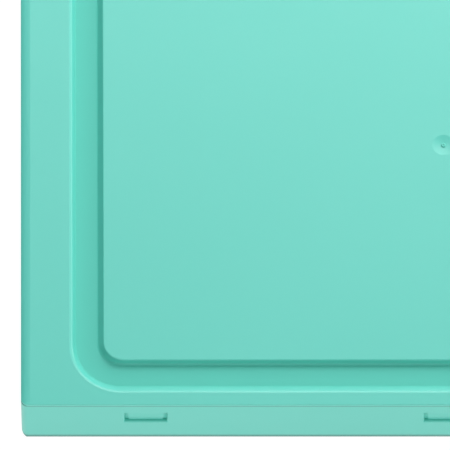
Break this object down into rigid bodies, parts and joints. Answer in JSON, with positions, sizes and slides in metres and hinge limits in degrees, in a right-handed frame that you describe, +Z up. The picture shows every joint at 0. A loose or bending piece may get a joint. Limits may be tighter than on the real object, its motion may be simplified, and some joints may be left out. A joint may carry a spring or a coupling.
{
  "type": "sandbox with cover",
  "caption": "Low rectangular sand tray with a moulded basin, snap-slotted outer frame and a lift-off cover with a raised panel inside a channel.",
  "frame": {"origin": "centre of the footprint, on the surface that the feet stand on", "axes": "+X along the length, -Y out of the front wall, +Z up through the cover"},
  "size_m": [0.72, 0.485, 0.0731],
  "materials": {
    "cover_plastic": "satin moulded polypropylene, mint green",
    "frame_plastic": "satin moulded polypropylene, mint green",
    "basin_plastic": "fine-textured moulded polypropylene, mint green",
    "beam_plastic": "natural grey moulded polypropylene",
    "seal_rubber": "soft pale grey elastomer",
    "foot_rubber": "soft dark grey rubber",
    "plug_rubber": "soft pale grey elastomer",
    "screw_steel": "zinc-plated steel"
  },
  "bodies": {
    "sandbox": {"tray_frame": "frame_plastic", "sand_basin": "basin_plastic", "floor_beam_left": "beam_plastic", "floor_beam_middle": "beam_plastic", "floor_beam_right": "beam_plastic", "beam_screws": "screw_steel", "foot_front_outer_left": "foot_rubber", "foot_front_inner_left": "foot_rubber", "foot_front_inner_right": "foot_rubber", "foot_front_outer_right": "foot_rubber", "foot_back_outer_left": "foot_rubber", "foot_back_inner_left": "foot_rubber", "foot_back_inner_right": "foot_rubber", "foot_back_outer_right": "foot_rubber"},
    "cover": {"cover_shell": "cover_plastic", "cover_seal": "seal_rubber"},
    "drain_plug": {"drain_plug": "plug_rubber"}
  },
  "joints": [
    {"name": "cover_lift", "type": "slide", "parent": "sandbox", "child": "cover", "axis": [0, 0, 1], "range_m": [0, 0.2]},
    {"name": "drain_plug_pull", "type": "slide", "parent": "sandbox", "child": "drain_plug", "axis": [0, 0, 1], "range_m": [0, 0.03]}
  ]
}
